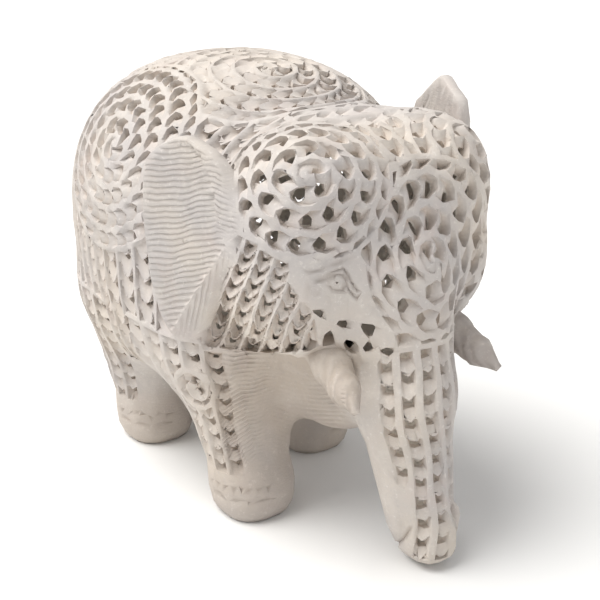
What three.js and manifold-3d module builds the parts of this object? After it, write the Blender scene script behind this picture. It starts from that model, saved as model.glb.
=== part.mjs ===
// Carved soapstone elephant, standing in a slow walk, trunk hanging, small tusks,
// fan ears lying back along the shoulders. Millimetres, +Z up, faces -Y.
import * as THREE from 'three';
import Module from 'manifold-3d';

// ---------- driving sizes ----------
const CELL = 5.6;                 // size of the facets of the carved body
const BODY = { c: [0, 9, 90.5], r: [54, 61, 55.2], n: 2.4 };
const BELLY = { c: [0, 6, 68], r: [50, 46, 34], n: 2.8 };
const NECK = { c: [0, -40, 100], r: [38, 26, 36], n: 2.3 };
const HEAD = { c: [0, -57, 103], r: [41.5, 27, 32], n: 2.5 };
const DOME = { c: [21, -60, 113.5], r: [22.5, 21, 22], n: 2.2 };     // one each side
const CHEEK = { c: [24, -56, 88], r: [20.5, 24, 21], n: 2.2 };       // one each side
const CHEST = { c: [0, -46, 58], r: [17, 26, 26], n: 2.4 };
const TRUNK = [                    // centre line points with radii, root to tip
  { p: [0, -70, 88], r: 22 },
  { p: [0, -82, 55], r: 15 },
  { p: [2.0, -88.4, 18], r: 11.0 },
];
const TRUNK_TIP = { c: [3.6, -90.9, 9.2], r: [8.8, 10.3, 8.6], n: 2.6 };
const TRUNK_CLEAR = 1.4;           // height of the trunk end above the ground
const LEG_TOP = 60;                // height of the shoulder and hip centres
const LEGS = [                     // foot x, foot y, top x, top y, top radius
  { foot: [-23, -30.5], top: [-24.5, -23], r: 22 },   // front right
  { foot: [21.5, -1.5], top: [25, -11], r: 21 },      // front left, stepping back
  { foot: [-21.8, 38.5], top: [-24.6, 38], r: 21.6 },     // rear right
  { foot: [21.5, 36], top: [25, 37], r: 22.5 },       // rear left
];
const ANKLE_H = 14, ANKLE_R = 12.5;
const FOOT = { r: [13.2, 13.6, 12], h: 9, n: 2.6 };
const TUSK = {                     // one each side
  path: [[21.5, -66, 72], [24.3, -77, 68.3], [26.4, -86, 64.0], [28.2, -95, 59.6]],
  radius: [7.2, 6.4, 4.9, 1.6], rings: 9, sides: 12,
};
const EAR_T = 4.6;                 // thickness of the ear flaps
const EAR_FRONT = { x: 40.5, y: -62 }, EAR_BACK = { x: 52.6, y: -21.5 };
const EAR_TOP = { right: 132.5, left: 141 };
const TAIL = { path: [[0, 61, 118], [-0.5, 69.6, 99], [-1.5, 68.8, 76], [-3, 62, 54], [-4, 55, 47]], radius: [5.4, 4.4, 3.4, 4.6, 2.4], rings: 14, sides: 10 };

// ---------- smooth field of the body ----------
const mix = (a, b, t) => a * (1 - t) + b * t;
const clamp = (v, a, b) => Math.min(b, Math.max(a, v));
function blend(a, b, k) {
  const h = clamp(0.5 + 0.5 * (b - a) / k, 0, 1);
  return mix(b, a, h) - k * h * (1 - h);
}
function egg(p, { c, r, n }) {
  let s = 0; const u = [0, 0, 0];
  for (let i = 0; i < 3; i++) { u[i] = Math.abs(p[i] - c[i]) / r[i] + 1e-6; s += u[i] ** n; }
  const g = s ** (1 / n); let q = 0;
  for (let i = 0; i < 3; i++) q += (g ** (1 - n) * u[i] ** (n - 1) / r[i]) ** 2;
  return (g - 1) / Math.sqrt(q);
}
function roundCone(p, a, b, r1, r2) {
  const ba = [0, 1, 2].map(i => b[i] - a[i]), pa = [0, 1, 2].map(i => p[i] - a[i]);
  const l2 = ba[0] ** 2 + ba[1] ** 2 + ba[2] ** 2, rr = r1 - r2, a2 = l2 - rr * rr, il2 = 1 / l2;
  const y = pa[0] * ba[0] + pa[1] * ba[1] + pa[2] * ba[2], z = y - l2;
  let x2 = 0; for (let i = 0; i < 3; i++) x2 += (pa[i] * l2 - ba[i] * y) ** 2;
  const y2 = y * y * l2, z2 = z * z * l2, k = Math.sign(rr) * rr * rr * x2;
  if (Math.sign(z) * a2 * z2 > k) return Math.sqrt(x2 + z2) * il2 - r2;
  if (Math.sign(y) * a2 * y2 < k) return Math.sqrt(x2 + y2) * il2 - r1;
  return (Math.sqrt(x2 * a2 * il2) + y * rr) * il2 - r1;
}
function field(x, y, z) {
  const p = [x, y, z], m = [Math.abs(x), y, z];
  let d = blend(egg(p, BODY), egg(p, BELLY), 6);
  for (const L of LEGS) {
    const leg = roundCone(p, [...L.top, LEG_TOP], [...L.foot, ANKLE_H], L.r, ANKLE_R);
    const foot = egg(p, { c: [L.foot[0], L.foot[1] - 1, FOOT.h], r: FOOT.r, n: FOOT.n });
    d = blend(d, blend(leg, foot, 4), 12);
  }
  let h = blend(egg(p, HEAD), egg(m, DOME), 6);
  h = blend(h, egg(m, CHEEK), 8);
  let t = roundCone(p, TRUNK[0].p, TRUNK[1].p, TRUNK[0].r, TRUNK[1].r);
  t = blend(t, roundCone(p, TRUNK[1].p, TRUNK[2].p, TRUNK[1].r, TRUNK[2].r), 6);
  t = blend(t, egg(p, TRUNK_TIP), 5);
  t = Math.max(t, TRUNK_CLEAR - z);
  h = blend(h, t, 8);
  h = blend(h, egg(p, NECK), 8);
  d = blend(d, h, 10);
  d = blend(d, egg(p, CHEST), 10);
  return d;
}

// ---------- facets of the field: one vertex in each grid cell that the skin passes ----------
function skin(f, lo, hi, h) {
  const n = [0, 1, 2].map(i => Math.ceil((hi[i] - lo[i]) / h) + 1);
  const at = (i, j, k) => (i * n[1] + j) * n[2] + k;
  const F = new Float64Array(n[0] * n[1] * n[2]);
  for (let i = 0; i < n[0]; i++) for (let j = 0; j < n[1]; j++) for (let k = 0; k < n[2]; k++)
    F[at(i, j, k)] = f(lo[0] + i * h, lo[1] + j * h, lo[2] + k * h);
  const id = new Int32Array(F.length).fill(-1), pos = [], tri = [];
  const O = [];
  for (let b = 0; b < 8; b++) O.push([b & 1, (b >> 1) & 1, (b >> 2) & 1]);
  const E = [];
  for (let a = 0; a < 8; a++) for (let s = 0; s < 3; s++) if (!((a >> s) & 1)) E.push([a, a | (1 << s)]);
  for (let i = 0; i < n[0] - 1; i++) for (let j = 0; j < n[1] - 1; j++) for (let k = 0; k < n[2] - 1; k++) {
    const v = O.map(o => F[at(i + o[0], j + o[1], k + o[2])]);
    const q = [0, 0, 0]; let c = 0;
    for (const [a, b] of E) if ((v[a] < 0) !== (v[b] < 0)) {
      const t = v[a] / (v[a] - v[b]);
      for (let s = 0; s < 3; s++) q[s] += O[a][s] + (O[b][s] - O[a][s]) * t;
      c++;
    }
    if (!c) continue;
    id[at(i, j, k)] = pos.length / 3;
    pos.push(lo[0] + (i + q[0] / c) * h, lo[1] + (j + q[1] / c) * h, lo[2] + (k + q[2] / c) * h);
  }
  const quad = (a, b, c, d) => {
    const P = i => new THREE.Vector3(pos[3 * i], pos[3 * i + 1], pos[3 * i + 2]);
    if (P(a).distanceTo(P(c)) <= P(b).distanceTo(P(d))) tri.push(a, b, c, a, c, d);
    else tri.push(b, c, d, b, d, a);
  };
  for (let i = 1; i < n[0] - 1; i++) for (let j = 1; j < n[1] - 1; j++) for (let k = 1; k < n[2] - 1; k++) {
    const here = F[at(i, j, k)] < 0;
    for (let s = 0; s < 3; s++) {
      const e = [i, j, k]; e[s]++;
      if ((F[at(...e)] < 0) === here) continue;
      const u = (s + 1) % 3, v = (s + 2) % 3;
      const g = (du, dv) => { const c = [i, j, k]; c[u] -= du; c[v] -= dv; return id[at(...c)]; };
      const r = [g(1, 1), g(0, 1), g(0, 0), g(1, 0)];
      if (here) quad(...r); else quad(r[3], r[2], r[1], r[0]);
    }
  }
  return { pos, tri };
}

// ---------- solids ----------
const wasm = await Module();
wasm.setup();
const { Manifold, Mesh } = wasm;
function solid(pos, tri) {
  const mesh = new Mesh({ numProp: 3, vertProperties: new Float32Array(pos), triVerts: new Uint32Array(tri) });
  mesh.merge();
  return new Manifold(mesh);
}
function fromGeometry(g) {
  const pos = Array.from(g.getAttribute('position').array);
  const tri = g.index ? Array.from(g.index.array) : pos.map((_, i) => i).slice(0, pos.length / 3);
  return solid(pos, tri);
}
// round bar of changing radius along a smooth curve, closed at both ends
function taper({ path, radius, rings, sides }, mirror) {
  const curve = new THREE.CatmullRomCurve3(path.map(q => new THREE.Vector3(q[0] * mirror, q[1], q[2])));
  const rad = t => {
    const s = t * (radius.length - 1), i = Math.min(radius.length - 2, Math.floor(s));
    return mix(radius[i], radius[i + 1], s - i);
  };
  const pos = [], tri = [];
  const frames = curve.computeFrenetFrames(rings, false);
  for (let i = 0; i <= rings; i++) {
    const c = curve.getPointAt(i / rings), r = rad(i / rings);
    for (let j = 0; j < sides; j++) {
      const a = 2 * Math.PI * j / sides;
      const v = c.clone().addScaledVector(frames.normals[i], r * Math.cos(a)).addScaledVector(frames.binormals[i], r * Math.sin(a));
      pos.push(v.x, v.y, v.z);
    }
  }
  for (let i = 0; i < rings; i++) for (let j = 0; j < sides; j++) {
    const a = i * sides + j, b = i * sides + (j + 1) % sides, c = a + sides, d = b + sides;
    tri.push(a, b, d, a, d, c);
  }
  for (let j = 1; j < sides - 1; j++) {
    tri.push(0, j + 1, j);
    const q = rings * sides; tri.push(q, q + j, q + j + 1);
  }
  return solid(pos, tri);
}
// ear flap: fan outline with a pointed foot, laid back along the neck and shoulder
function ear(side, top) {
  const low = [
    [-21.5, 106], [-22.5, 92], [-23.5, 79], [-25.5, 70], [-30, 66.5],
    [-36, 68.5], [-43, 77], [-47.5, 87], [-52, 95], [-57, 102], [-58, 112],
  ];
  const key = side < 0
    ? [[-37, top], [-28, top - 4.5], [-22.5, top - 11], ...low, [-55, 121], [-50, 128], [-44, top - 1.5]]
    : [[-43, top], [-35.5, top - 4.2], [-28, top - 9.4], [-22.8, top - 14.7], ...low, [-59.3, 124], [-57.3, top - 6.4], [-50, top - 2.6]];
  const outline = new THREE.CatmullRomCurve3(key.map(([y, z]) => new THREE.Vector3(y, z, 0)), true).getPoints(40);
  outline.pop();
  const shape = new THREE.Shape(outline.map(q => new THREE.Vector2(q.x, q.y)));
  const g = new THREE.ExtrudeGeometry(shape, { depth: EAR_T - 2, steps: 1, bevelEnabled: true, bevelThickness: 1, bevelSize: 0.8, bevelSegments: 1, curveSegments: 40 });
  const at = g.getAttribute('position');
  const slope = (EAR_BACK.x - EAR_FRONT.x) / (EAR_BACK.y - EAR_FRONT.y);
  for (let i = 0; i < at.count; i++) {
    const y = at.getX(i), z = at.getY(i), w = at.getZ(i) - (EAR_T / 2 - 1);
    const tuck = 3.5 * clamp((92 - z) / 24, 0, 1) ** 1.5;     // the foot of the ear leans in
    const x = EAR_FRONT.x + slope * (y - EAR_FRONT.y) - tuck + w;
    at.setXYZ(i, side * x, y, z);
  }
  const plain = new THREE.BufferGeometry();
  plain.setAttribute('position', at);
  if (side < 0) {
    const a = at.array;
    for (let i = 0; i < a.length; i += 9) for (let s = 0; s < 3; s++) { const t = a[i + s]; a[i + s] = a[i + 3 + s]; a[i + 3 + s] = t; }
  }
  let s = fromGeometry(plain);
  return s;
}

const B = skin(field, [-64.4, -111.3, -11.9], [64.4, 82, 156], CELL);
let elephant = solid(B.pos, B.tri);
for (const m of [1, -1]) elephant = elephant.add(taper(TUSK, m));
elephant = elephant.add(ear(-1, EAR_TOP.right)).add(ear(1, EAR_TOP.left));
elephant = elephant.add(taper(TAIL, 1));
// the soles of the four feet are ground flat on one plane
elephant = elephant.trimByPlane([0, 0, 1], 0);
const parts = elephant.decompose();
elephant = parts.sort((a, b) => b.volume() - a.volume())[0];

const out = elephant.getMesh();
const geo = new THREE.BufferGeometry();
const P = new Float32Array(out.numVert * 3);
for (let i = 0; i < out.numVert; i++) for (let s = 0; s < 3; s++) P[3 * i + s] = out.vertProperties[i * out.numProp + s];
geo.setAttribute('position', new THREE.BufferAttribute(P, 3));
geo.setIndex(new THREE.BufferAttribute(new Uint32Array(out.triVerts), 1));
geo.computeBoundingBox();
const bb = geo.boundingBox;
geo.translate(-(bb.min.x + bb.max.x) / 2, -(bb.min.y + bb.max.y) / 2, -bb.min.z);
geo.computeVertexNormals();

const stone = new THREE.MeshStandardMaterial({ color: 0xd9cfc2, roughness: 0.75, metalness: 0 });
const mesh = new THREE.Mesh(geo, stone);
mesh.name = 'elephant';
const group = new THREE.Group();
group.name = 'soapstone_elephant';
group.add(mesh);
export default group;
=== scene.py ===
# Carved soapstone elephant: one hollow openwork carving, standing in a slow walk.
# Millimetres in the carving code, metres in the scene. The carving is worked out as a field:
# smooth form, hollow inside, lattice cut through the wall, then fine engraving.
import math
import bpy
import numpy as np
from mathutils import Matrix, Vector


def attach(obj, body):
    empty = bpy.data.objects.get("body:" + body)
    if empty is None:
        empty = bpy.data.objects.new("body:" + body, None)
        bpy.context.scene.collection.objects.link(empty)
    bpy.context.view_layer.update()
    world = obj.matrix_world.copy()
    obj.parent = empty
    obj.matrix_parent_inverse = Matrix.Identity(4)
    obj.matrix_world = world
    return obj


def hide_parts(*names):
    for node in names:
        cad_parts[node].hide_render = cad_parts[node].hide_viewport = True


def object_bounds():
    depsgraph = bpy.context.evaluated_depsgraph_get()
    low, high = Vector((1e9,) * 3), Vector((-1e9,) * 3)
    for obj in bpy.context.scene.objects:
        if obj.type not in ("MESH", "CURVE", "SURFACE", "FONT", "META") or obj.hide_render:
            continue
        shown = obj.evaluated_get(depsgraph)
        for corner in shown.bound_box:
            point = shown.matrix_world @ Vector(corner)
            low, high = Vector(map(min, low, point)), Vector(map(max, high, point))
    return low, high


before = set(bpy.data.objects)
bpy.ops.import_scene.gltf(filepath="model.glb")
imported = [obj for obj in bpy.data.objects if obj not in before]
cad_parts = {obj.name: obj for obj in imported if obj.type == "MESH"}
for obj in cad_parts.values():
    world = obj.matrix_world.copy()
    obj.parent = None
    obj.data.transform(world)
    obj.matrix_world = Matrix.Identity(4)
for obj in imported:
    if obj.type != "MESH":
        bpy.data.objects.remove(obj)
CAD_LO, CAD_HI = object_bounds()

# ==== form: sizes and fields ====
SHIFT = np.array((-0.0014, 13.1997, 0.0))       # carving frame to the shared frame
H = 0.55                                      # field spacing
R = 3                                         # the smooth form is worked out every R steps
WALL = 3.8                                    # thickness of the hollow body
TAU = 2 * np.pi


def sstep(a, b, x):
    t = np.clip((x - a) / (b - a), 0, 1)
    return t * t * (3 - 2 * t)


def smin(a, b, k):
    h = np.clip(0.5 + 0.5 * (b - a) / k, 0, 1)
    return b * (1 - h) + a * h - k * h * (1 - h)


def smax(a, b, k):
    return -smin(-a, -b, k)


def egg(P, c, r, n):
    u = np.abs(P - np.array(c, P.dtype)) / np.array(r, P.dtype) + 1e-6
    un = u ** (n - 1)
    g = (un * u).sum(-1) ** (1 / n)
    q = (un / np.array(r, P.dtype)) ** 2
    return (g - 1) / (g ** (1 - n) * np.sqrt(q.sum(-1)))


def cone(P, a, b, r1, r2):
    a = np.array(a, P.dtype); b = np.array(b, P.dtype)
    ba = b - a
    l2 = float(ba @ ba); rr = r1 - r2; a2 = l2 - rr * rr; il2 = 1 / l2
    pa = P - a
    y = pa @ ba
    z = y - l2
    x2 = ((pa * l2 - ba * y[..., None]) ** 2).sum(-1)
    y2 = y * y * l2; z2 = z * z * l2
    k = np.sign(rr) * rr * rr * x2
    d = (np.sqrt(x2 * a2 * il2) + y * rr) * il2 - r1
    d = np.where(np.sign(y) * a2 * y2 < k, np.sqrt(x2 + y2) * il2 - r1, d)
    return np.where(np.sign(z) * a2 * z2 > k, np.sqrt(x2 + z2) * il2 - r2, d)


LEGS = (  # foot x, foot y, top x, top y, top radius
    (-23.0, -30.5, -24.5, -23.0, 22.0),
    (21.5, -1.5, 25.0, -11.0, 21.0),
    (-21.8, 38.5, -24.6, 38.0, 21.5),
    (21.5, 36.0, 25.0, 37.0, 22.5),
)
TUSK = (((20.6, -66, 71.8), 6.1), ((23.6, -77, 68.2), 5.5), ((25.7, -86, 64.2), 4.2), ((27.3, -93.2, 60.9), 1.7))
TAIL = (((0, 61, 118), 5.4), ((-0.5, 69.2, 99), 4.2), ((-1.5, 68.6, 76), 3.3), ((-3, 62, 54), 4.5), ((-4, 55, 47), 2.3))


def form(P):
    """Smooth form of the carving, without ears, tusks and tail."""
    X = np.concatenate([np.abs(P[:, :1]), P[:, 1:]], 1)
    z = P[:, 2]
    d = smin(egg(P, (0, 9, 90.5), (54, 61, 55.2), 2.4), egg(P, (0, 6, 68), (49.8, 45.8, 34), 2.8), 6)
    for fx, fy, tx, ty, r in LEGS:
        leg = cone(P, (tx, ty, 60), (fx, fy, 14), r, 12.5)
        d = smin(d, smin(leg, egg(P, (fx, fy - 1, 9), (13.2, 13.6, 12), 2.6), 4), 12)
    h = smin(egg(P, (0, -57, 103), (41.5, 27, 32), 2.5), egg(X, (21, -60, 113.5), (22.5, 21, 22), 2.2), 6)
    h = smin(h, egg(X, (24, -56, 88), (20.5, 24, 21), 2.2), 8)
    t = cone(P, (0, -70, 88), (0, -82, 55), 22, 15)
    t = smin(t, cone(P, (0, -82, 55), (2.0, -88.4, 18), 15, 10.9), 6)
    t = smin(t, egg(P, (3.6, -90.8, 9.2), (8.7, 10.1, 8.5), 2.6), 5)
    t = smin(t, egg(P, (11.6, -93.0, 14.5), (2.6, 3.0, 5.0), 2.0), 2)
    t = smax(t, 1.5 - z, 2.5)
    h = smin(h, t, 8)
    h = smin(h, egg(P, (0, -40, 100), (38, 26, 36), 2.3), 8)
    d = smin(d, h, 10)
    return smin(d, egg(P, (0, -46, 58), (17, 26, 26), 2.4), 10)


def bar(P, path, k=2.0):
    d = None
    for (a, ra), (b, rb) in zip(path, path[1:]):
        c = cone(P, a, b, ra, rb)
        d = c if d is None else smin(d, c, k)
    return d


# ---- the oblique plane on which the face and ears were laid out ----
LAY_A, LAY_E, LAY_D, LAY_F, LAY_T = -35.0, 20.5, 462.7, 1281.0, (18.9, 0.0, 55.9)
PX = 0.36                                    # mm for one unit of that plane


def lay(P):
    a, e = math.radians(LAY_A), math.radians(LAY_E)
    back = np.array((math.sin(a) * math.cos(e), -math.cos(a) * math.cos(e), math.sin(e)))
    right = np.array((math.cos(a), math.sin(a), 0.0))
    up = np.cross(back, right)
    q = P - (np.array(LAY_T) + back * LAY_D)
    s = LAY_F / -(q @ back)
    return 300 + (q @ right) * s, 300 - (q @ up) * s


def mirrored(P, push=0.0):
    """Both halves of the head share one layout; the left one is pushed outward by push."""
    x = P[:, 0]
    m = np.where(x > 0, -(x - push), x)
    return lay(np.stack([m, P[:, 1], P[:, 2]], 1))


def inside(U, V, pts):
    """Signed distance to a closed outline, positive inside."""
    d = np.full(U.shape, 1e9); s = np.ones(U.shape)
    for i in range(len(pts)):
        a = pts[i]; b = pts[i - 1]
        ex, ey = b[0] - a[0], b[1] - a[1]
        wx, wy = U - a[0], V - a[1]
        t = np.clip((wx * ex + wy * ey) / (ex * ex + ey * ey), 0, 1)
        d = np.minimum(d, (wx - ex * t) ** 2 + (wy - ey * t) ** 2)
        c1 = V >= a[1]; c2 = V < b[1]; c3 = ex * wy > ey * wx
        s = np.where((c1 & c2 & c3) | (~c1 & ~c2 & ~c3), -s, s)
    return -s * np.sqrt(d)


def smooth_line(pts, n=6, closed=False):
    """Catmull-Rom through pts."""
    p = np.array(pts, float)
    q = np.vstack([p[-1:], p, p[:2]]) if closed else np.vstack([2 * p[0] - p[1], p, 2 * p[-1] - p[-2]])
    out = []
    for i in range(len(q) - 3):
        for j in range(n):
            t = j / n
            out.append(0.5 * (2 * q[i + 1] + (q[i + 2] - q[i]) * t + (2 * q[i] - 5 * q[i + 1] + 4 * q[i + 2] - q[i + 3]) * t * t + (3 * q[i + 1] - q[i] - 3 * q[i + 2] + q[i + 3]) * t ** 3))
    if not closed:
        out.append(q[-2])
    return np.array(out)


def near(U, V, pts):
    """Distance to an open line, and how far along it, 0 to 1."""
    d = np.full(U.shape, 1e9); al = np.zeros(U.shape)
    n = len(pts) - 1
    for i in range(n):
        a = pts[i]; e = pts[i + 1] - a
        wx, wy = U - a[0], V - a[1]
        t = np.clip((wx * e[0] + wy * e[1]) / max(e @ e, 1e-9), 0, 1)
        q = (wx - e[0] * t) ** 2 + (wy - e[1] * t) ** 2
        al = np.where(q < d, (i + t) / n, al)
        d = np.minimum(d, q)
    return np.sqrt(d), al
# ==== end form ====


# ==== lattice: the openwork pattern ====
def hsh(a, b, s=0.0):
    v = np.sin(a * 127.1 + b * 311.7 + s * 74.7) * 43758.5453
    return v - np.floor(v)


def spiral(P, c, n, rp, hand=1, up=(0, 0, 1), phase=0.0, out=1, asp=1.0, rot=0.0):
    """One winding band round c: u across the band, length along it, number of the turn."""
    n = np.array(n, float); n /= np.linalg.norm(n)
    e1 = np.cross(up, n); e1 /= np.linalg.norm(e1)
    e2 = np.cross(n, e1)
    q = P - np.array(c, float)
    a = q @ e1; b = q @ e2; h = q @ n
    if rot:
        a, b = a * math.cos(rot) + b * math.sin(rot), -a * math.sin(rot) + b * math.cos(rot)
    rho = np.sqrt(a * a + (b * asp) ** 2 + h * h)
    th = np.arctan2(b * asp, a) * hand
    th = (th + np.pi + TAU * phase) % TAU - np.pi
    Q = rho / rp - th / TAU
    k = np.floor(Q)
    u = Q - k - 0.5
    Phi = th / TAU + k + 0.5
    return u, np.pi * rp * Phi * np.abs(Phi) * out, k


def columns(A, B, rp, cp, stag=0.5, off=0.0):
    Q = A / rp + off
    k = np.floor(Q)
    return Q - k - 0.5, B / cp + stag * (k % 2) + 0.23 * np.sin(k * 2.3), k


def cell(u, V, k, w, rp, cp, rib=1.25, arm=0.50, D=2.7, hole=1.0, blind=None, fade=0.58, flat=0.0, sq=0.62):
    """One cell of the lattice: a scooped tongue that climbs to a pointed lip, and the opening past the lip."""
    um = np.abs(u) * rp
    a = rp / 2 - rib / 2
    t = np.minimum(um / a, 1.0)
    s0 = V + arm * t ** 1.9
    kk = np.floor(s0)
    s = s0 - kk
    sm = s * cp; up = (1 - s) * cp
    j = hsh(k, kk); j2 = hsh(k, kk, 1.0)
    side = um - (a - 0.10 * w)
    dep = D * (0.88 + 0.24 * j)
    floor = dep * (1 - s) ** fade
    cut = np.maximum(np.maximum(w - floor, side), -sm)
    cut2 = np.maximum(np.maximum(w - dep, side), up)
    # opening: a hat-shaped crescent just past the lip
    ln = cp * 0.40 * hole * (0.90 + 0.20 * j2) * (1 - sq * t * t) + flat * arm * cp * t ** 1.9
    h = np.maximum(np.maximum((sm - ln) * 0.9, -sm), um - (a - 0.25))
    h = np.minimum(h, np.maximum(np.maximum(up, -up - ln), um - (a - 0.25)))
    if blind is not None:
        h = np.maximum(h, w - blind)
    return np.minimum(np.minimum(cut, cut2), h)


def leaf(u, V, k, w, rp, cp, rib=1.6, arm=0.42, D=2.6, r=1.6, tail=0.90, off=0.25):
    """One leaf of the lattice: an arched rim, a drilled opening inside it, and a scoop that tapers out behind."""
    um = np.abs(u) * rp
    a = rp / 2 - rib / 2
    t = np.minimum(um / a, 1.0)
    s0 = V - arm * t * t
    kk = np.floor(s0)
    s = s0 - kk
    dep = D * (0.88 + 0.24 * hsh(k, kk))
    sp = np.clip(s / tail, 0, 1)
    side = um - (a * (1 - 0.28 * sp ** 1.6) - 0.12 * w)
    cut = np.maximum(np.maximum(w - dep * (1 - sp) ** 0.75, side), np.maximum(-s * cp, (s - tail) * cp))
    cut2 = np.maximum(np.maximum(w - dep, side), (1 - s) * cp)
    kv = np.floor(V)
    vm = (V - kv) * cp
    rr = r * (0.90 + 0.20 * hsh(k, kv, 1.0))
    c0 = rr + off
    h = np.sqrt(um * um * (0.80 + 0.25 * hsh(k, kv, 3.0)) + (vm - c0) ** 2) - rr
    h2 = np.sqrt(um * um + (vm - cp - c0) ** 2) - rr
    return np.minimum(np.minimum(cut, cut2), np.minimum(h, h2))


EYE = [(291, 268), (320, 264), (338, 259), (355, 252), (363, 262), (367, 280), (372, 300), (380, 318), (391, 332), (376, 341), (357, 332), (346, 320), (324, 313), (309, 302), (300, 293), (291, 284)]
CHEEK = [(246, 236), (268, 246), (291, 258), (291, 284), (300, 295), (309, 303), (318, 318), (322, 351), (262, 353), (205, 349), (188, 340), (212, 300), (226, 268), (240, 250)]
TEAR = [(309, 302), (324, 313), (346, 320), (357, 332), (377, 341), (392, 334), (398, 352), (380, 357), (322, 352), (318, 318)]
DRILLS = [  # across, down, half length, half width, turn in degrees, on the face layout
    (318.6, 311.6, 5.4, 3.4, 20), (341.5, 322.4, 5.6, 3.6, 5), (329.6, 336.0, 6.6, 4.6, 95), (347.8, 343.6, 5.2, 4.6, 40),
    (366.5, 328.4, 8.2, 5.6, 38), (367.4, 347.6, 5.2, 4.4, -40), (387.0, 351.2, 6.8, 3.8, 15),
]
ROS_C, ROS_N = (31.2, -76.0, 127.0), (0.52, -0.72, 0.46)
SWIRL_C = (4.0, -89.5, 98.5)


def drops(U, V, w):
    d = np.full(len(U), 9.0)
    for cu, cv, la, lb, tn in DRILLS:
        t = math.radians(tn)
        du, dv = U - cu, V - cv
        p = du * math.cos(t) + dv * math.sin(t)
        q = -du * math.sin(t) + dv * math.cos(t)
        d = np.minimum(d, (np.sqrt((p / la) ** 2 + (q / lb * (1 - 0.35 * np.clip(p / la, -1, 1))) ** 2) - 1) * lb * PX)
        d = np.minimum(d, np.maximum((np.sqrt(((p - la) / la / 1.5) ** 2 + (q / lb / 1.25) ** 2) - 1) * lb * PX, w - 1.6 + 0.12 * np.clip(p, 0, 20)))
    return d


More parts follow.
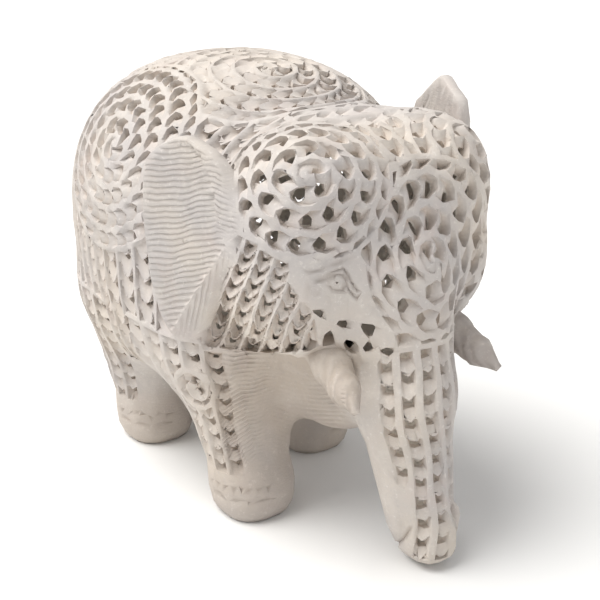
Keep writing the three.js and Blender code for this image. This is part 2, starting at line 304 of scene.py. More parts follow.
def lattice(P, w, tusk):
    """Negative where the lattice is cut away. P in the carving frame, w depth below the smooth form."""
    P = P + 0.30 * np.stack([np.sin(P[:, 1] * 0.31 + P[:, 2] * 0.23), np.sin(P[:, 2] * 0.29 + P[:, 0] * 0.19), np.sin(P[:, 0] * 0.27 + P[:, 1] * 0.21)], 1)
    x, y, z = P[:, 0], P[:, 1], P[:, 2]
    m = np.abs(x)
    U, V = mirrored(P, 8.0)
    front = y < -36
    C = np.full(len(P), 9.0)
    bd = np.full(len(P), 9.0)
    taken = np.zeros(len(P), bool)

    def region(mask, fn, where=None):
        nonlocal taken
        if where is not None:
            mask = np.where(where, mask, -9.0)
        sel = (~taken) & (mask > 0)
        if fn is not None and sel.any():
            C[sel] = fn(sel)
        bd[:] = np.where(sel, np.minimum(bd, mask), np.where(taken, bd, np.minimum(bd, -mask)))
        taken |= sel

    # big swirl on the forehead; on the left it runs out to the outline of the face
    dx = x - SWIRL_C[0]
    rho = np.sqrt((dx * np.where(dx < 0, 1.12, 0.80)) ** 2 + ((z - SWIRL_C[2]) * 0.86) ** 2 + (y - SWIRL_C[1]) ** 2)
    sw_mask = np.minimum(27 - rho, (z - 74.5) * 0.9)

    def swirl(sel):
        u, S, k = spiral(P[sel], SWIRL_C, (0.02, -0.98, 0.2), 7.0, hand=-1, phase=0.25, out=1, asp=0.80)
        return leaf(u, -S / 6.9, k, w[sel], 7.0, 6.9, rib=1.05, arm=0.54, D=2.7, r=1.85)
    region(sw_mask, swirl, (y < -60) & (x > 6))
    # plain patch round each eye
    region(inside(U, V, EYE) * PX, None, front)

    # rosettes on the two domes
    for side in (-1, 1):
        c = np.array((ROS_C[0] * side, ROS_C[1], ROS_C[2]))
        n = (ROS_N[0] * side, ROS_N[1], ROS_N[2])

        def ros(sel, c=c, n=n, side=side):
            u, S, k = spiral(P[sel], c, n, 7.1, hand=side, phase=0.1)
            return leaf(u, -S / 7.2, k, w[sel], 7.1, 7.2, rib=1.15, arm=0.46, D=2.7, r=1.9)
        q = P - np.array((29.6 * side, -75.5, 126.0))
        region((24.6 if side < 0 else 22.6) - np.sqrt((q ** 2).sum(1)), ros)

    # plain band under the eye
    region(inside(U, V, TEAR) * PX, None, front)

    # cheek: slanting columns
    def cheek(sel):
        A = ((U[sel] - 300) + 0.40 * (V[sel] - 300)) * PX * 0.93
        B = ((V[sel] - 300) - 0.25 * (U[sel] - 300)) * PX * 1.05
        u, v, k = columns(A, B, 6.8, 5.6, stag=0.4)
        return cell(u, v, k, w[sel], 6.8, 5.6, rib=0.95, arm=0.92, D=2.6, hole=0.72, sq=0.80)
    region(inside(U, V, CHEEK) * PX, cheek, front)
    region(sw_mask, swirl, (y < -60))

    # plain skin at the root of each tusk
    region(6.5 - tusk, None, (y < -56) & (V > 352) & (U < 374))

    # front of the trunk: columns of square openings with wide plain ribs between them
    ax_x = np.interp(z, [18, 55, 88], [2.0, 0, 0]); ax_y = np.interp(z, [18, 55, 88], [-88.4, -82, -70]); ax_r = np.interp(z, [6, 18, 55, 88], [9.5, 10.9, 15, 22])
    A = ax_r * np.arctan2(x - ax_x, np.maximum(ax_y - y, 0.5)) - np.interp(z, [10, 17, 36, 44, 51, 58, 68], [0.3, 0.6, 0.1, -0.7, -1.9, -2.4, -2.0])
    left = np.interp(z, [28.6, 31.4], [-9.5, -15.8])

    def trunk(sel):
        n = np.floor(A[sel] / 6.3 + 0.5)
        v = (71.3 - z[sel]) / 6.8 + 0.25 + 0.5 * (n < -1) + 0.06 * (n + 1) * (n > -1)
        return cell(A[sel] / 6.3 - n, v, n, w[sel], 6.3, 6.8, rib=2.2, arm=0.30, D=2.3, hole=1.05, blind=5.2, flat=0.75, sq=0.0)
    region(np.minimum(np.minimum(A - left, 16.5 - A), np.minimum(74.5 - z, z - 4.0)), trunk, y < -66 - 6 * np.clip((76 - z) / 76, 0, 1))

    # legs: a band of columns down the outer side
    for fx, fy, tx, ty, _ in LEGS:
        sd = -1 if fx < 0 else 1
        t = np.clip((z - 14) / 46, 0, 1)
        ddx = (x - fx - (tx - fx) * t) * sd; ddy = y - fy - (ty - fy) * t
        ang = np.degrees(np.arctan2(ddx, -ddy))
        rad = 13.0 + 6.5 * t
        lo = 36.0 if fy < 20 else 46.0
        mk = np.minimum(np.minimum((ang - lo) * 0.0175 * rad, (138 - ang) * 0.0175 * rad), np.minimum(z - 17.5, 66 - z))

        if fy == LEGS[0][1]:
            # a small curl behind the columns of this leg
            cu = P - np.array((fx + (tx - fx) * 0.72 + 19.5 * sd, fy + (ty - fy) * 0.72 - 5.0, 48.5))

            def curl(sel, sd=sd):
                u, S, k = spiral(P[sel], (-44.5, -31.0, 48.5), (0.9 * sd, -0.4, 0.05), 4.6, hand=-sd, phase=0.15)
                return cell(u, S / 5.4, k, w[sel], 4.6, 5.4, rib=1.3, D=2.6, hole=1.0, blind=4.4)
            region(7.4 - np.sqrt((cu ** 2).sum(1)), curl, x < -30)

        def leg(sel, ang=ang, rad=rad, lo=lo):
            A = (ang[sel] - lo) * 0.0175 * rad[sel] * (13.5 / rad[sel]) ** 0.55
            u, v, k = columns(A, -z[sel], 5.6, 5.7, stag=0.45, off=0.0)
            return cell(u, v, k, w[sel], 5.6, 5.7, rib=1.35, arm=0.42, D=2.4, hole=0.9, blind=4.4, flat=0.35, sq=0.35)
        region(mk, leg, (ddx > -2) & (m > 8) & (np.abs(ddy) < 24))

    # chest, muzzle and the sides of the trunk stay plain
    region(np.minimum(66.5 - z, 36.5 - m + 0.06 * (60 - z)), None, y < -33)

    # belly and all that is low stays plain
    region(39.5 - z, None, y > -45)
    # strip under the tail
    region(np.minimum(3.6 - np.abs(x + 0.03 * (100 - z)), 119 - z), None, y > 50)

    # swirl on each flank
    for side in (-1, 1):
        def flank(sel, side=side):
            sc = 1.0 if side < 0 else 1.35      # the hidden side is plainer
            u, S, k = spiral(P[sel], (48 * side, 9, 121.0), (0.90 * side, 0.0, 0.43), 7.0 * sc, hand=-side, phase=0.2)
            return leaf(u, -S / (5.8 * sc), k, w[sel], 7.0 * sc, 5.8 * sc, rib=1.3 * sc, arm=0.62, D=2.3, r=1.15 * sc)
        q = P - np.array((48.0 * side, 9, 121.0))
        region(34 - np.sqrt((q ** 2).sum(1)), flank)

    # long rows that wind over the back
    def back(sel):
        u, S, k = spiral(P[sel], (-1.0, -12, 144.0), (0, -0.05, 1), 7.2, hand=1, up=(0, 1, 0), phase=0.3, out=-1)
        return cell(u, S / 6.2, k, w[sel], 7.2, 6.2, rib=1.25, arm=0.6, D=1.8, hole=0.62)
    region(31 - np.sqrt((x + 1) ** 2 * 0.86 + (y + 12) ** 2 * 0.9 + (z - 144) ** 2), back, z > 112)

    def rump(sel):
        u, S, k = spiral(P[sel], (1.0, 40, 138.0), (0, 0.35, 1), 7.6, hand=-1, up=(0, 1, 0), phase=0.6)
        return cell(u, S / 6.2, k, w[sel], 7.6, 6.2, rib=1.25, arm=0.6, D=1.8, hole=0.62)
    region(29 - np.sqrt((x - 1) ** 2 * 0.8 + (y - 40) ** 2 + (z - 138) ** 2), rump, z > 108)

    # shoulder columns
    def shoulder(sel):
        o = np.empty(int(sel.sum()))
        for r, sc in ((x[sel] <= 0, 1.0), (x[sel] > 0, 1.35)):
            u, v, k = columns(y[sel][r], -z[sel][r] * 1.15 + 0.35 * m[sel][r], 7.0 * sc, 6.2 * sc, stag=0.4)
            o[r] = cell(u, v, k, w[sel][r], 7.0 * sc, 6.2 * sc, rib=1.25 * sc, arm=0.7, hole=0.75)
        return o
    region(z - 112, shoulder, (y > -48) & (m > 17))

    # crown, between the domes: leaves that run forward and down
    def crown(sel):
        u, v, k = columns(x[sel] + 3.4, -y[sel] * 0.8 - z[sel] * 0.75, 6.9, 6.8, stag=0.5)
        return leaf(u, -v, k, w[sel], 6.9, 6.8, rib=1.1, arm=0.50, r=1.7)
    region(z - 110, crown, y < -62)

    # neck: rows across
    def neck(sel):
        u, v, k = columns(y[sel] * 0.9 - z[sel] * 0.45, -x[sel], 7.4, 7.0, stag=0.5)
        return leaf(u, -v, k, w[sel], 7.4, 7.0, rib=1.5, D=2.1, r=1.15)
    region(z - 108, neck, y < -20)

    # lower flanks and rump: columns running down
    def low(sel):
        th = np.arctan2((y[sel] - 9) / 61, m[sel] / 54)
        A = th * 57 * np.sign(x[sel] + 1e-9)
        o = np.empty(len(A))
        for r, sc in ((A <= 0, 1.0), (A > 0, 1.35)):
            u, v, k = columns(A[r], -z[sel][r], 6.4 * sc, 5.6 * sc, stag=0.45)
            o[r] = cell(u, v, k, w[sel][r], 6.4 * sc, 5.6 * sc, rib=1.0 * sc, arm=0.8, D=2.3, hole=0.66)
        return o
    region(np.full(len(P), 9.0), low)
    C = np.maximum(C, 0.75 - bd)
    C = np.maximum(C, w - 3.2 * (bd - 0.55))      # cuts run out shallow against a border
    C = np.maximum(C, 2.0 - tusk)             # nothing is cut at the root of a tusk
    # drops drilled in the plain band under the eye
    i = np.flatnonzero(front & (U > 304) & (U < 402) & (V > 298) & (V < 364))
    if len(i):
        C[i] = np.minimum(C[i], np.maximum(drops(U[i], V[i], w[i]), 0.6 - tusk[i]))
    return C
# ==== end lattice ====


# ==== skin: field to facets ====
def upsample(A, r):
    """Cubic interpolation to r steps for each one, along every axis; loses one cell at each edge."""
    for ax in range(3):
        A = np.moveaxis(A, ax, 0)
        n = A.shape[0]
        out = np.empty(((n - 3) * r + 1,) + A.shape[1:], A.dtype)
        for q in range(r):
            t = q / r
            w0 = 0.5 * (-t ** 3 + 2 * t * t - t); w1 = 0.5 * (3 * t ** 3 - 5 * t * t + 2)
            w2 = 0.5 * (-3 * t ** 3 + 4 * t * t + t); w3 = 0.5 * (t ** 3 - t * t)
            m = n - 3 if q else n - 2
            out[q::r] = w0 * A[0:m] + w1 * A[1:m + 1] + w2 * A[2:m + 2] + (w3 * A[3:m + 3] if q else 0)
        A = np.moveaxis(out, 0, ax)
    return np.ascontiguousarray(A)


def nets(F, origin, h):
    """One vertex in each grid cell that the skin passes, one quad across each edge that it cuts."""
    S = F < 0
    cnt = np.zeros(tuple(n - 1 for n in S.shape), np.int8)
    off = [(a, b, c) for c in (0, 1) for b in (0, 1) for a in (0, 1)]
    for a, b, c in off:
        cnt += S[a:S.shape[0] - 1 + a, b:S.shape[1] - 1 + b, c:S.shape[2] - 1 + c]
    act = (cnt > 0) & (cnt < 8)
    idx = -np.ones(act.shape, np.int32)
    I = np.argwhere(act)
    idx[act] = np.arange(len(I), dtype=np.int32)
    acc = np.zeros((len(I), 3)); num = np.zeros(len(I))
    V = [F[I[:, 0] + o[0], I[:, 1] + o[1], I[:, 2] + o[2]] for o in off]
    for a, b in ((0, 1), (2, 3), (4, 5), (6, 7), (0, 2), (1, 3), (4, 6), (5, 7), (0, 4), (1, 5), (2, 6), (3, 7)):
        m = (V[a] < 0) != (V[b] < 0)
        t = V[a][m] / (V[a][m] - V[b][m])
        oa = np.array(off[a], float)
        acc[m] += oa + (np.array(off[b], float) - oa) * t[:, None]
        num[m] += 1
    P = origin + (I + acc / num[:, None]) * h
    quads = []
    for ax in range(3):
        a = [slice(1, -1)] * 3; a[ax] = slice(0, -1)
        b = list(a); b[ax] = slice(1, None)
        A = S[tuple(a)]; B = S[tuple(b)]
        o = np.ones(3, int); o[ax] = 0
        u, v = [(1, 2), (2, 0), (0, 1)][ax]
        for flip, M in ((False, A & ~B), (True, ~A & B)):
            J = np.argwhere(M) + o

            def g(du, dv):
                K = J.copy(); K[:, u] -= du; K[:, v] -= dv
                return idx[K[:, 0], K[:, 1], K[:, 2]]
            q = np.stack([g(1, 1), g(0, 1), g(0, 0), g(1, 0)], -1)
            quads.append(q[:, ::-1] if flip else q)
    return P, np.concatenate(quads)


def pieces_of(n, E):
    """Which connected piece each vertex belongs to."""
    lab = np.arange(n)
    while True:
        a = lab[E[:, 0]]; b = lab[E[:, 1]]
        ne = a != b
        if not ne.any():
            return lab
        np.minimum.at(lab, np.maximum(a, b)[ne], np.minimum(a, b)[ne])
        while True:
            l2 = lab[lab]
            if (l2 == lab).all():
                break
            lab = l2
# ==== end skin ====


# ==== ears ====
EAR_TOP = {-1: 132.5, 1: 141.0}
EAR_FRONT, EAR_BACK, EAR_T = (40.5, -62.0), (52.6, -21.5), 4.6


def ear_outline(side):
    top = EAR_TOP[side]
    low = [(-21.5, 106), (-22.5, 92), (-23.5, 79), (-25.5, 70), (-30, 66.5), (-36, 68.5), (-43, 77), (-47.5, 87), (-52, 95), (-57, 102), (-58, 112)]
    if side < 0:
        key = [(-37, top), (-28, top - 4.5), (-22.5, top - 11)] + low + [(-55, 121), (-50, 128), (-44, top - 1.5)]
    else:
        key = [(-43, top), (-35.5, top - 4.2), (-28, top - 9.4), (-22.8, top - 14.7)] + low + [(-59.3, 124), (-57.3, top - 6.4), (-50, top - 2.6)]
    return smooth_line(key, 4, closed=True)


FOLD = smooth_line([(190, 146), (199, 158), (204, 169), (209, 183), (213.5, 202), (215.5, 222), (221, 240), (227, 248)])
RIDGE = smooth_line([(232, 240), (227, 247.8), (218, 261), (203.4, 283), (191.7, 300.6), (180, 320), (172, 335)])


def ears(P, side, lines=False):
    """Field of one ear flap at points P, and the depth of the engraving to cut in its outer face."""
    Y = np.stack([P[:, 0] * side, P[:, 1], P[:, 2]], 1)
    x, y, z = Y[:, 0], Y[:, 1], Y[:, 2]
    slope = (EAR_BACK[0] - EAR_FRONT[0]) / (EAR_BACK[1] - EAR_FRONT[1])
    tuck = 3.5 * np.clip((92 - z) / 24, 0, 1) ** 1.5
    mid = EAR_FRONT[0] + slope * (y - EAR_FRONT[1]) - tuck
    out = (x - mid) * 0.955                   # outward from the middle of the plate
    p = inside(y, z, ear_outline(side))       # positive inside the outline
    U, V = lay(np.stack([-np.maximum(mid, 1) - 2.0, y, z], 1))
    df, af = near(U, V, FOLD)
    dr, ar = near(U, V, RIDGE)
    behind = sstep(-3, 3, (FOLD_X(V) - U))    # behind the fold or the ridge
    # fan of fine ribs over the rear of the flap
    wob = 1.6 * np.sin((U - 150) * 0.085 + V * 0.012) + 0.9 * np.sin(U * 0.21 + V * 0.05) + 0.7 * np.sin(V * 0.11 + U * 0.04)
    ph = (V + wob + 0.10 * (U - 150)) / 5.75
    wave = 0.5 - 0.5 * np.cos(TAU * ph)
    fan = behind * sstep(0.6, 1.8, p) * sstep(138, 146, V + 0.2 * (U - 170))
    cut = 0.55 * fan * (1 - wave) ** 0.8
    # short strokes ahead of the fold
    ph2 = (V * 0.98 - 0.30 * U + 1.6 * np.sin(U * 0.3)) / 5.4
    st = (1 - behind) * sstep(22, 12, df + 4 * np.sin(V * 0.7)) * sstep(146, 152, V) * sstep(240, 228, V)
    strokes = [(ph, fan), (ph2 + 0.5, st * sstep(0.3, 1.2, p))]
    # steep strokes between the ridge and the front edge
    ph3 = (U * 0.97 + 0.20 * V) / 4.7
    st3 = (1 - behind) * sstep(256, 266, V) * sstep(0.2, 1.0, p) * sstep(1.0, 2.6, dr)
    strokes.append((ph3 + 0.5, st3))
    # fold groove with small pits
    cut += 0.35 * np.exp(-(df / 2.0) ** 2) * sstep(0.6, 1.6, p)
    cut += 0.75 * np.exp(-(df / 2.4) ** 2) * np.clip(np.sin(af * 62), 0, 1) * sstep(0.75, 0.55, af)
    # worn, pitted patch near the top
    pt = np.exp(-(((U - 180) / 9) ** 2 + ((V - 143) / 5) ** 2))
    cut += 0.9 * pt * np.clip(np.sin(U * 1.1 + V * 0.6) * np.sin(V * 1.3 - U * 0.4), 0, 1)
    # a few soft knocks ahead of the fold
    cut += 0.22 * (1 - behind) * sstep(0.2, 1.0, p) * np.sin(U * 0.33 + 1.2 * np.sin(V * 0.11)) * np.sin(V * 0.27 + U * 0.05) * sstep(250, 236, V)
    half = EAR_T / 2 - 0.10 + 0.75 * np.exp(-(dr / 2.4) ** 2) * sstep(0.3, 1.0, p)
    # the inner face has plain fine strokes that show at the tip of the far ear
    inner = sstep(0.3, -0.6, out)
    half = half - 0.40 * (1 - np.abs(np.sin(np.pi * (z * 0.55 + y * 0.85 + 0.5 * np.sin(y * 0.5)) / 2.3))) * sstep(0.8, 1.8, p) * inner
    face = sstep(-0.5, 0.6, out) * sstep(-0.2, 0.4, p)
    if lines:
        return smax(np.abs(out) - half, -p, 1.3), [(a, on * face) for a, on in strokes]
    return smax(np.abs(out) - half, -p, 1.3), cut * face


def FOLD_X(V):
    """Where the fold, then the ridge, crosses each height of the layout."""
    line = np.vstack([FOLD[FOLD[:, 1] < 246], RIDGE[RIDGE[:, 1] > 248]])
    o = np.argsort(line[:, 1])
    return np.interp(V, line[o, 1], line[o, 0])
# ==== end ears ====


# ==== engraving on the smooth form ====
EYE_LINES = [  # width, depth, points on the face layout
    (1.05, 0.55, [(311.8, 283.6), (321.8, 280.6), (330.3, 277.0), (337.6, 274.4), (342.2, 275.4), (345.6, 280.3)]),
    (1.05, 0.50, [(327.1, 281.3), (330.0, 286.6), (336.6, 290.8), (342.9, 289.7), (345.8, 284.5)]),
    (1.15, 0.65, [(330.0, 272.6), (338.2, 269.4), (342.8, 268.6), (346.8, 273.2), (350.6, 280.3), (355.5, 288.7), (361.2, 294.4)]),
    (1.15, 0.60, [(341.8, 272.8), (345.5, 279.4), (348.4, 288.7), (353.4, 295.6), (359.8, 299.4)]),
    (0.95, 0.38, [(307.0, 278.2), (316.6, 277.6), (326.0, 274.9), (332.0, 271.5)]),
    (0.95, 0.38, [(303.0, 272.6), (316.0, 271.0), (327.0, 267.9), (338.0, 263.9), (349.0, 259.4)]),
    (0.90, 0.30, [(320.0, 266.4), (330.3, 263.2), (343.9, 260.0), (352.4, 255.4)]),
    (0.85, 0.30, [(308.4, 285.6), (311.2, 290.2), (312.0, 296.0)]),
    (0.85, 0.30, [(313.6, 286.6), (316.6, 291.2), (317.4, 297.0)]),
    (0.85, 0.30, [(324.2, 293.8), (327.4, 298.6), (328.6, 304.0)]),
    (0.85, 0.30, [(328.6, 294.6), (331.4, 299.6), (332.4, 305.2)]),
    (0.85, 0.26, [(346.6, 304.6), (347.6, 309.6), (347.0, 313.8)]),
    (0.85, 0.26, [(350.6, 304.2), (351.9, 309.4), (351.4, 314.4)]),
    (0.85, 0.26, [(354.4, 304.6), (355.6, 309.8), (355.2, 315.4)]),
    (1.10, 0.50, [(300.6, 357.8), (306.0, 354.8), (313.4, 352.6), (322.0, 350.6), (331.0, 349.0), (341.0, 348.4)]),
]


SEAM = smooth_line([(350, 407), (357, 420), (366, 437), (375, 453), (383, 467), (391, 482)])
MOUTH = smooth_line([(398, 543), (404, 538), (409, 531), (412, 522)])


def engrave(P, w):
    """Depth of fine cuts (positive) into the form near P."""
    g = np.zeros(len(P))
    x, y, z = P[:, 0], P[:, 1], P[:, 2]
    U, V = mirrored(P, 8.0)
    face = (y < -62) & (z > 66) & (z < 116)
    i = np.flatnonzero(face)
    u, v = U[i], V[i]
    gi = np.zeros(len(i))
    for wd, dp, pts in EYE_LINES:
        d, al = near(u, v, smooth_line(pts, 4))
        gi = np.maximum(gi, 1.6 * dp * np.exp(-(d / wd / 1.20) ** 2) * sstep(0, 0.12, al) ** 0.5 * sstep(1.0, 0.88, al) ** 0.5)
    d = np.sqrt((u - 336.8) ** 2 + (v - 282.6) ** 2)
    gi = np.maximum(gi, 1.25 * np.exp(-(d / 1.7) ** 4))            # drilled pupil
    gi = np.maximum(gi, 0.28 * np.exp(-((d - 4.4) / 0.9) ** 2))    # rim of the iris
    gi -= 0.35 * np.exp(-(d / 6.0) ** 2)                           # swell of the eyeball
    g[i] = gi
    # chips in a row round each foot, and the line over each toenail
    for fx, fy, _, _, _ in LEGS:
        sd = -1 if fx < 0 else 1
        a = np.degrees(np.arctan2((x - fx) * sd, -(y - fy + 1)))
        r = np.sqrt((x - fx) ** 2 + (y - fy + 1) ** 2)
        on = (r < 18) & (z < 21)
        i = np.flatnonzero(on)
        aa, zz = a[i], z[i]
        gi = np.zeros(len(i))
        for q, a0 in enumerate((8, 24, 37, 47, 58, 71, 88, 104)):
            h = hsh(q, fx); h2 = hsh(q, fy, 2.0)
            e = ((aa - a0) * 0.235 + 0.35 * (zz - 13.4)) / (0.55 + 0.35 * h)
            gi = np.maximum(gi, (0.55 + 0.35 * h2) * np.exp(-e ** 2 - ((zz - 13.2 - 0.9 * (h - 0.5)) / (0.75 + 0.3 * h2)) ** 2))
        for a0 in (14, 50, 86):
            e = (aa - a0) * 0.235
            arc = zz - 9.6 + 0.075 * e * e * (1 + 0.25 * np.sign(e))
            gi = np.maximum(gi, 0.60 * np.exp(-(arc / 0.55) ** 2) * sstep(4.1, 3.0, np.abs(e)))
            gi -= 0.22 * np.exp(-((zz - 6.4) / 3.0) ** 2) * sstep(4.2, 2.6, np.abs(e))
        g[i] += gi
    # double raised line down the side of the trunk
    t = (x < 6) & (y < -72) & (z > 24) & (z < 68)
    i = np.flatnonzero(t)
    for shift, hi in ((0.0, 0.62), (5.2, 0.42)):
        d, al = near(U[i] - shift, V[i], SEAM)
        g[i] -= hi * np.exp(-(d / 1.5) ** 2) * sstep(0, 0.12, al) * sstep(1.0, 0.8, al)
    # mouth and finger at the end of the trunk
    i = np.flatnonzero((z < 30) & (y < -74))
    d, al = near(U[i], V[i], MOUTH)
    g[i] += np.where(x[i] < 3, 1.1 * np.exp(-(d / 2.0) ** 2) * sstep(1.0, 0.7, al), 0)
    # plain belly: long soft tool marks
    bl = (z < 50) & (y > -36) & (z > 24)
    g += np.where(bl, 0.10 * np.sin(z * 1.9 + 0.6 * np.sin(y * 0.3)) * np.sin(y * 0.22 + x * 0.2), 0)
    return g
def hatch(P):
    """Fine strokes on the plain chest: (phase, strength) pairs, and the painted shade that darkens the chest under the
    head.
    """
    x, y, z = P[:, 0], P[:, 1], P[:, 2]
    U, V = mirrored(P, 8.0)
    on = sstep(-32, -38, y) * sstep(9, 14, z) * sstep(70, 66, z) * sstep(46, 42, np.abs(x))
    tilt = 0.05 + 0.75 * sstep(362, 440, V)
    a = (V + tilt * (U - 238) + 1.3 * np.sin(U * 0.21 + V * 0.05)) / 4.6
    ea = sstep(342, 350, V) * sstep(470, 446, V) * sstep(276, 246, U) * sstep(218, 228, U) * on
    b = (V - 0.16 * (U - 310) + 2.2 * np.sin(U * 0.075 + 0.8)) / 4.4
    eb = (0.8 * np.exp(-(((U - 332) / 26) ** 2 + ((V - 410) / 22) ** 2)) + 0.10 * sstep(262, 285, U)) * on * sstep(470, 440, V) * sstep(352, 344, U)
    # painted shade: the chest lies in shadow under the head
    dark = on * sstep(-70, -62, y + 0.0 * x) * sstep(348, 356, V)
    return [(a, ea), (b, np.clip(eb, 0, 1))], dark
# ==== end engraving ====


def carve():
    """The whole carving: vertices in mm and quads."""
    f = np.float32
    lo = np.array((-57.2, -102.3, -3.3)); hi = np.array((57.2, 77.0, 149.0))
    step = H * R
    n = [int(math.ceil((b - a) / step)) + 1 for a, b in zip(lo, hi)]
    ax = [lo[i] + (np.arange(-1, n[i] + 2)) * step for i in range(3)]
    G = np.stack(np.meshgrid(*ax, indexing="ij"), -1).reshape(-1, 3).astype(f)
    base = upsample(form(G).reshape(len(ax[0]), len(ax[1]), len(ax[2])).astype(f), R)
    shape = base.shape
    gx = [(lo[i] + np.arange(shape[i]) * H).astype(f) for i in range(3)]
    print("grid", shape)

    flat = base.reshape(-1)
    sel = np.flatnonzero((flat > -6.0) & (flat < 0.9))
    ijk = np.unravel_index(sel, shape)
    P = np.stack([gx[i][ijk[i]] for i in range(3)], 1).astype(np.float64)
    w = -flat[sel].astype(np.float64)
    X = np.stack([np.abs(P[:, 0]), P[:, 1], P[:, 2]], 1)
    tk = np.full(len(P), 30.0)
    q = np.flatnonzero((P[:, 1] < -50) & (P[:, 2] > 40) & (P[:, 2] < 96))
    tk[q] = bar(X[q], TUSK, 3.0)
    C = lattice(P, w, tk)
    g = engrave(P, w)
    solid = -w + g
    # fold of skin round the root of each tusk
    ring = np.sqrt((tk - 1.1) ** 2 + (np.abs(solid) * 0.8) ** 2)
    solid = smin(solid, np.where(P[:, 1] < -60, ring - 1.25, 9.0), 1.6)
    ring = np.sqrt((tk - 3.4) ** 2 + (np.abs(solid) * 0.8) ** 2)
    solid = smin(solid, np.where((P[:, 1] < -60) & (P[:, 2] > 70), ring - 0.8, 9.0), 1.2)
    val = smax(solid, -C, 0.32)
    full = flat.copy()
    full[sel] = val
    del P, w, C, g, X, tk, q, solid, val

    # hollow inside the body and the head
    z = gx[2][None, None, :]; y = gx[1][None, :, None]
    zl = 50 + 26 * sstep(-45.0, -62.0, y)
    cav = smax(base + WALL, (zl - z).astype(f), 3.0)
    cav = np.maximum(cav, (-86.0 - y).astype(f))
    F = np.maximum(full.reshape(shape), -cav).astype(f)
    del cav, full, flat, sel, ijk

    def patch(box, fn, k):
        """Adds another field inside a box of the grid."""
        a = [max(0, int((box[i][0] - lo[i]) / H)) for i in range(3)]
        b = [min(shape[i], int((box[i][1] - lo[i]) / H) + 2) for i in range(3)]
        s = tuple(slice(a[i], b[i]) for i in range(3))
        G = np.stack(np.meshgrid(*[gx[i][a[i]:b[i]] for i in range(3)], indexing="ij"), -1).reshape(-1, 3).astype(np.float64)
        v = fn(G)
        v, cut = v if isinstance(v, tuple) else (v, None)
        sh = [b[i] - a[i] for i in range(3)]
        F[s] = smin(F[s], v.reshape(sh).astype(f), k)
        if cut is not None:
            F[s] += cut.reshape(sh).astype(f)

    for side in (-1, 1):
        bx = (32.0, 56.5) if side > 0 else (-56.5, -32.0)
        patch((bx, (-65, -17), (60, 147)), lambda G, side=side: ears(G, side), 1.6)

        def tusk(G, side=side):
            Y = np.stack([G[:, 0] * side, G[:, 1], G[:, 2]], 1)
            d = bar(Y, TUSK, 3.0)
            s = np.clip((-G[:, 1] - 74) / 20, 0, 1)
            ring = np.abs(np.sin(np.pi * (G[:, 1] * 0.93 + G[:, 2] * -0.30 + 0.04 * Y[:, 0]) / 2.9))
            return d + 0.42 * (1 - ring) ** 2.0 * sstep(0.22, 0.40, s) + 0.12 * np.sin(Y[:, 0] * 1.7 + G[:, 2] * 0.9) * sstep(0.4, 0.0, s)
        bx = (10.0, 40.0) if side > 0 else (-40.0, -10.0)
        patch((bx, (-98, -56), (54, 84)), tusk, 1.4)

    def tail(G):
        d = bar(G, TAIL, 3.0)
        a = np.arctan2(G[:, 0] + 2, G[:, 1] - 60)
        tuft = sstep(66, 56, G[:, 2])
        return d + 0.28 * tuft * np.abs(np.sin(a * 7 + G[:, 2] * 0.12)) + 0.10 * (1 - tuft) * np.sin(G[:, 2] * 2.6)
    patch(((-14, 12), (44, 76.5), (40, 128)), tail, 2.2)

    # ground flat under the feet, and kept within the block
    m = 0.12
    F = np.maximum(F, (-z).astype(f))
    for i, (a, b) in enumerate(zip(np.array(CAD_LO) * 1000 - SHIFT, np.array(CAD_HI) * 1000 - SHIFT)):
        g = gx[i].reshape([-1 if j == i else 1 for j in range(3)])
        if i < 2:
            F = np.maximum(F, np.maximum(a + m - g, g - b + m).astype(f))
        else:
            F = np.maximum(F, (g - b + m).astype(f))
    return nets(F, lo, H)


def clean(P, Q):
    """Keeps the one carving: loose crumbs and closed bubbles go."""
    E = np.concatenate([Q[:, [0, 1]], Q[:, [1, 2]], Q[:, [2, 3]], Q[:, [3, 0]]])
    lab = pieces_of(len(P), E)
    ids, cnt = np.unique(lab, return_counts=True)
    keep = lab == ids[np.argmax(cnt)]
    print("pieces", len(ids), "kept", int(cnt.max()), "of", len(P))
    new = np.cumsum(keep) - 1
    return P[keep], new[Q[keep[Q[:, 0]]]]


def to_mesh(name, P, Q):
    me = bpy.data.meshes.new(name)
    me.vertices.add(len(P))
    me.vertices.foreach_set("co", P.astype(np.float32).ravel())
    me.loops.add(Q.size)
    me.loops.foreach_set("vertex_index", Q.astype(np.int32).ravel())
    me.polygons.add(len(Q))
    me.polygons.foreach_set("loop_start", np.arange(0, Q.size, Q.shape[1], dtype=np.int32))
    me.update(calc_edges=True)
    me.validate()
    return me


KEEP_F = 0.25


def decimated(ob, goal, keep=None):
    tris = sum(len(p.vertices) - 2 for p in ob.data.polygons) if len(ob.data.polygons) < 50 else 2 * len(ob.data.polygons)
    mod = ob.modifiers.new("fewer", "DECIMATE")
    mod.ratio = min(1.0, goal / tris)
    if keep is not None:
        vg = ob.vertex_groups.new(name="engraved")
        for wt in np.unique(keep[keep > 0]):
            vg.add(np.flatnonzero(keep == wt).tolist(), float(wt), "REPLACE")
        mod.vertex_group = "engraved"
        mod.invert_vertex_group = True
        mod.vertex_group_factor = KEEP_F
    dg = bpy.context.evaluated_depsgraph_get()
    me = bpy.data.meshes.new_from_object(ob.evaluated_get(dg))
    ob.modifiers.remove(mod)
    old = ob.data
    me.name = ob.name
    ob.data = me
    bpy.data.meshes.remove(old)
    print("triangles", tris, "->", len(me.polygons))


